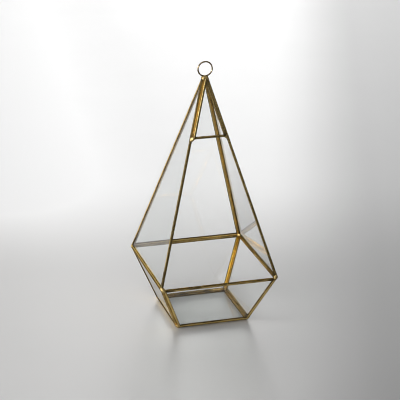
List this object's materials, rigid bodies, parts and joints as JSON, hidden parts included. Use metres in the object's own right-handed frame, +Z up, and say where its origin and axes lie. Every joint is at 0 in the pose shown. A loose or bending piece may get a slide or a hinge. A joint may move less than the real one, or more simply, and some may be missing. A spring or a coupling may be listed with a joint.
{
  "type": "geometric glass terrarium",
  "caption": "Empty glass terrarium: a tall square pyramid on a short upturned one, clear panes in brass channel, open front, wire hanging ring.",
  "frame": {"origin": "middle of the base, on the surface that it stands on", "axes": "+Z up to the tip, the open front faces -Y, +X to the right seen from the front"},
  "size_m": [0.1498, 0.1498, 0.3272],
  "materials": {
    "channel_brass": "aged folded brass, satin, darker at the folds and lips",
    "solder": "brass-coloured solder, smooth and lumpy, brighter than the channel",
    "ring_brass": "aged brass wire, satin",
    "clear_glass": "clear float glass with a faint green-grey tint"
  },
  "bodies": {
    "root": {"channel_base_back": "channel_brass", "channel_base_front": "channel_brass", "channel_base_left": "channel_brass", "channel_base_right": "channel_brass", "channel_lower_back_foot": "channel_brass", "channel_lower_back_girdle": "channel_brass", "channel_lower_back_left_edge": "channel_brass", "channel_lower_back_right_edge": "channel_brass", "channel_lower_front_foot": "channel_brass", "channel_lower_front_girdle": "channel_brass", "channel_lower_front_left_edge": "channel_brass", "channel_lower_front_right_edge": "channel_brass", "channel_lower_left_back_edge": "channel_brass", "channel_lower_left_foot": "channel_brass", "channel_lower_left_front_edge": "channel_brass", "channel_lower_left_girdle": "channel_brass", "channel_lower_right_back_edge": "channel_brass", "channel_lower_right_foot": "channel_brass", "channel_lower_right_front_edge": "channel_brass", "channel_lower_right_girdle": "channel_brass", "channel_upper_back_girdle": "channel_brass", "channel_upper_back_left_edge": "channel_brass", "channel_upper_back_right_edge": "channel_brass", "channel_upper_front_crossbar": "channel_brass", "channel_upper_front_left_edge": "channel_brass", "channel_upper_front_right_edge": "channel_brass", "channel_upper_left_back_edge": "channel_brass", "channel_upper_left_front_edge": "channel_brass", "channel_upper_left_girdle": "channel_brass", "channel_upper_right_back_edge": "channel_brass", "channel_upper_right_front_edge": "channel_brass", "channel_upper_right_girdle": "channel_brass", "glass_base": "clear_glass", "glass_lower_back": "clear_glass", "glass_lower_front": "clear_glass", "glass_lower_left": "clear_glass", "glass_lower_right": "clear_glass", "glass_upper_back": "clear_glass", "glass_upper_front": "clear_glass", "glass_upper_left": "clear_glass", "glass_upper_right": "clear_glass", "hanging_ring": "ring_brass", "solder_base_back_left": "solder", "solder_base_back_right": "solder", "solder_base_front_left": "solder", "solder_base_front_right": "solder", "solder_cap": "solder", "solder_crossbar_left": "solder", "solder_crossbar_right": "solder", "solder_girdle_back_left": "solder", "solder_girdle_back_right": "solder", "solder_girdle_front_left": "solder", "solder_girdle_front_right": "solder"}
  },
  "joints": []
}
